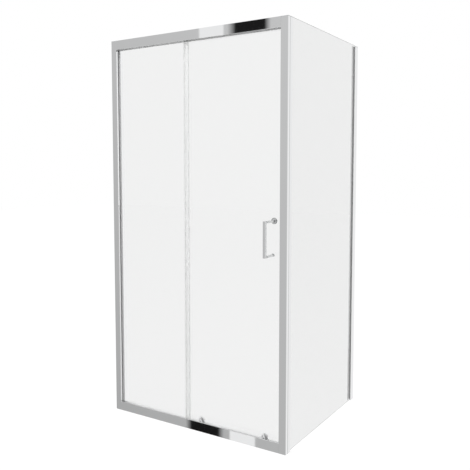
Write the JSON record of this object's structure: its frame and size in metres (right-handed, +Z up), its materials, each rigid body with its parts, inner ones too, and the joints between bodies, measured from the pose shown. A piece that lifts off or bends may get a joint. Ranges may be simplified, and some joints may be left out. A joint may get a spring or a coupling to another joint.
{
  "type": "shower enclosure with sliding door",
  "caption": "Framed corner shower enclosure: a fixed pane and a sliding glass door on rollers across the front, a fixed side pane, polished profiles and a square D handle.",
  "frame": {"origin": "foot of the front left corner, on the shower tray: the left wall meets the front face of the frame there", "axes": "+X along the front to the right, away from the left wall; +Y into the shower, towards the back wall; +Z up"},
  "size_m": [1.001, 0.848, 1.902],
  "materials": {
    "profile": "bright polished and anodised",
    "channel": "plain anodised",
    "clear_glass": "clear toughened, ground edges",
    "dark_gasket": "matt",
    "clear_seal": "clear flexible extrusion",
    "magnet": "magnetic strip",
    "bright_chrome": "polished",
    "plated_plastic": "chrome plated",
    "wheel_plastic": "moulded",
    "grey_plastic": "moulded",
    "steel": "stainless"
  },
  "bodies": {
    "frame": {"bottom_rail": "profile", "corner_post": "profile", "corner_screws": "steel", "door_stop_closed": "dark_gasket", "door_stop_open": "dark_gasket", "fixed_edge_trim": "clear_seal", "fixed_gasket_back": "dark_gasket", "fixed_gasket_front": "dark_gasket", "fixed_glass": "clear_glass", "fixing_screws": "steel", "glazing_strip_bottom": "dark_gasket", "glazing_strip_top": "dark_gasket", "left_stile": "profile", "profile_end_caps": "grey_plastic", "rail_screws": "steel", "right_stile": "profile", "screw_cover_caps": "grey_plastic", "side_gasket_post": "dark_gasket", "side_gasket_wall": "dark_gasket", "side_glass": "clear_glass", "side_wall_profile": "profile", "strike_magnet": "magnet", "top_rail": "profile", "wall_channel_left": "channel", "wall_channel_side": "channel"},
    "door": {"bottom_cap_left": "plated_plastic", "bottom_cap_right": "plated_plastic", "bottom_housing_left": "plated_plastic", "bottom_housing_right": "plated_plastic", "bottom_hub_screws": "steel", "door_glass": "clear_glass", "door_magnet": "magnet", "door_magnet_seal": "clear_seal", "door_trailing_seal": "clear_seal", "handle_bar": "bright_chrome", "handle_bolts": "steel", "handle_washers": "grey_plastic", "inner_knob": "bright_chrome", "release_springs_left": "steel", "release_springs_right": "steel", "top_axles": "steel", "top_carriage_left": "grey_plastic", "top_carriage_right": "grey_plastic", "top_hub_left": "bright_chrome", "top_hub_right": "bright_chrome"},
    "bottom_wheel_left": {"bottom_wheel_left": "wheel_plastic"},
    "bottom_wheel_right": {"bottom_wheel_right": "wheel_plastic"},
    "release_left": {"release_slider_left": "grey_plastic", "bottom_axle_left": "steel"},
    "release_right": {"release_slider_right": "grey_plastic", "bottom_axle_right": "steel"},
    "top_wheel_left_1": {"top_wheel_left_1": "wheel_plastic"},
    "top_wheel_left_2": {"top_wheel_left_2": "wheel_plastic"},
    "top_wheel_right_1": {"top_wheel_right_1": "wheel_plastic"},
    "top_wheel_right_2": {"top_wheel_right_2": "wheel_plastic"}
  },
  "joints": [
    {"name": "door_slide", "type": "slide", "parent": "frame", "child": "door", "axis": [-1, 0, 0], "range_m": [0, 0.385]},
    {"name": "top_wheel_left_1_spin", "type": "hinge", "parent": "door", "child": "top_wheel_left_1", "pos_m": [0.505, 0.0432, 1.876], "axis": [0, 1, 0], "continuous": true},
    {"name": "top_wheel_left_2_spin", "type": "hinge", "parent": "door", "child": "top_wheel_left_2", "pos_m": [0.539, 0.0432, 1.876], "axis": [0, 1, 0], "continuous": true},
    {"name": "top_wheel_right_1_spin", "type": "hinge", "parent": "door", "child": "top_wheel_right_1", "pos_m": [0.856, 0.0432, 1.876], "axis": [0, 1, 0], "continuous": true},
    {"name": "top_wheel_right_2_spin", "type": "hinge", "parent": "door", "child": "top_wheel_right_2", "pos_m": [0.89, 0.0432, 1.876], "axis": [0, 1, 0], "continuous": true},
    {"name": "release_left_slide", "type": "slide", "parent": "door", "child": "release_left", "axis": [0, 0, -1], "range_m": [0, 0.004], "stiffness_N_per_m": 500, "springref_m": -0.006, "deforming": ["release_springs_left"]},
    {"name": "bottom_wheel_left_spin", "type": "hinge", "parent": "release_left", "child": "bottom_wheel_left", "pos_m": [0.522, 0.0425, 0.017], "axis": [0, 1, 0], "continuous": true},
    {"name": "release_right_slide", "type": "slide", "parent": "door", "child": "release_right", "axis": [0, 0, -1], "range_m": [0, 0.004], "stiffness_N_per_m": 500, "springref_m": -0.006, "deforming": ["release_springs_right"]},
    {"name": "bottom_wheel_right_spin", "type": "hinge", "parent": "release_right", "child": "bottom_wheel_right", "pos_m": [0.873, 0.0425, 0.017], "axis": [0, 1, 0], "continuous": true}
  ],
  "couplings": [
    {"joint": "top_wheel_left_1_spin", "follows": "door_slide", "rad_per_m": -100},
    {"joint": "top_wheel_left_2_spin", "follows": "door_slide", "rad_per_m": -100},
    {"joint": "top_wheel_right_1_spin", "follows": "door_slide", "rad_per_m": -100},
    {"joint": "top_wheel_right_2_spin", "follows": "door_slide", "rad_per_m": -100},
    {"joint": "bottom_wheel_left_spin", "follows": "door_slide", "rad_per_m": 142.86},
    {"joint": "bottom_wheel_right_spin", "follows": "door_slide", "rad_per_m": 142.86}
  ]
}
